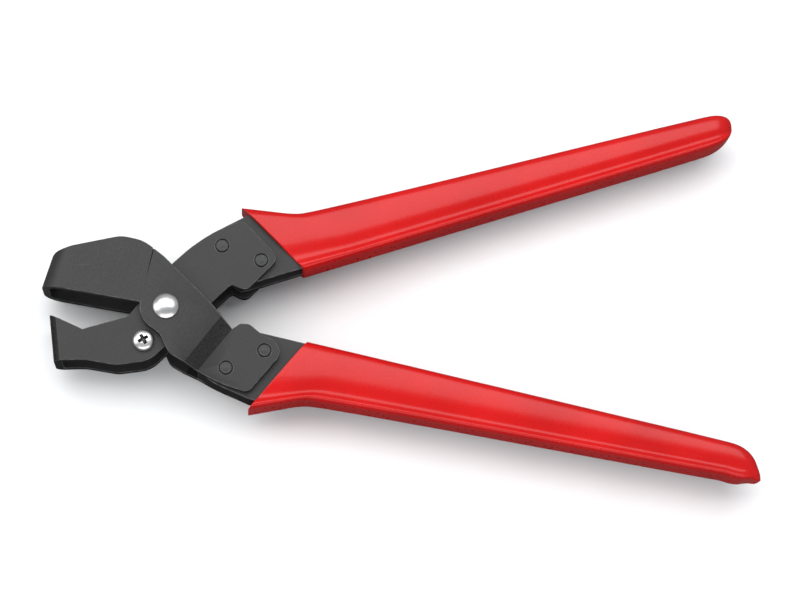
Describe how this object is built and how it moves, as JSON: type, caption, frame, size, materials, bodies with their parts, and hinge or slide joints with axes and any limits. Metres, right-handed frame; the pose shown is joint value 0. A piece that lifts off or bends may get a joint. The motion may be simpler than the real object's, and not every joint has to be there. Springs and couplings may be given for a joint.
{
  "type": "notching pliers",
  "caption": "Hand notching pliers with a box punch that swings into a U-shaped die on a sprung pivot, with dip-coated handles.",
  "frame": {"origin": "on the pivot axis, at the flat rear face of the pivot pin's riveted head", "axes": "+X along the tool towards the handles, +Y towards the handle that carries the punch, +Z along the pivot axis towards the pin's domed head"},
  "size_m": [0.242, 0.1306, 0.0264],
  "materials": {
    "black_steel": "blackened sheet steel, satin",
    "plated_steel": "bright plated steel",
    "plain_steel": "plain turned steel",
    "spring_steel": "drawn spring wire",
    "black_rivet": "blackened rivet, flush",
    "red_grip": "glossy red dip coating"
  },
  "bodies": {
    "die_lever": {"die_jaw": "black_steel", "pivot_pin": "plated_steel", "pivot_washer": "plated_steel", "pivot_sleeve": "plain_steel", "lower_channel": "black_steel", "lower_grip": "red_grip", "lower_front_rivet": "black_rivet", "lower_rear_rivet": "black_rivet", "lower_front_spacer": "plain_steel", "lower_rear_spacer": "plain_steel", "opening_spring": "spring_steel"},
    "punch_lever": {"punch_jaw": "black_steel", "stop_screw": "plated_steel", "stop_sleeve": "plain_steel", "stop_washer": "plated_steel", "stop_nut": "plated_steel", "upper_channel": "black_steel", "upper_grip": "red_grip", "upper_front_rivet": "black_rivet", "upper_rear_rivet": "black_rivet", "upper_front_spacer": "plain_steel", "upper_rear_spacer": "plain_steel"}
  },
  "joints": [
    {"name": "jaw_pivot", "type": "hinge", "parent": "die_lever", "child": "punch_lever", "pos_m": [0, 0, 0.0132], "axis": [0, 0, -1], "range_deg": [-12, 25], "stiffness_Nm_per_rad": 0.5, "deforming": ["opening_spring"]}
  ]
}
